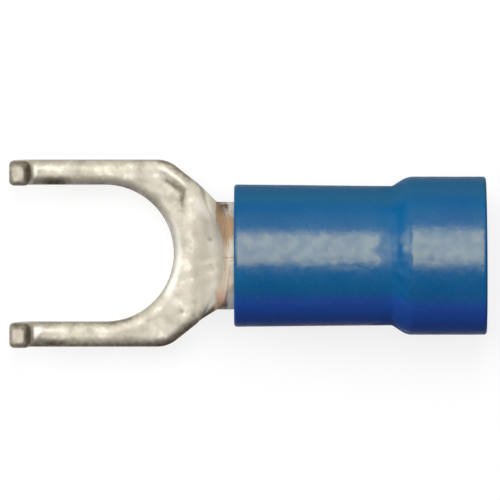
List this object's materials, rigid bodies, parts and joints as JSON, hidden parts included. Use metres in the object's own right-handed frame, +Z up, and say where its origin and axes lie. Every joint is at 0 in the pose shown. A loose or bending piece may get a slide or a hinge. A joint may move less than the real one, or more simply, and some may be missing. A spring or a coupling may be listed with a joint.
{
  "type": "fork terminal",
  "caption": "Insulated fork terminal: flat forked tongue with turned-up lips, a neck that curls into a rolled wire barrel, and a blue sleeve that widens at the wire entry.",
  "frame": {"origin": "centre of the stud that the slot takes, on the underside of the tongue", "axes": "+X along the terminal's axis from the fork to the wire entry, +Z up, the side that the lips turn up to"},
  "size_m": [0.0186, 0.0074, 0.0062],
  "materials": {
    "tin_plate": "tin-plated copper, softly mottled satin",
    "blue_vinyl": "semi-gloss opaque blue vinyl"
  },
  "bodies": {
    "root": {"fork_terminal": "tin_plate", "insulating_sleeve": "blue_vinyl"}
  },
  "joints": []
}
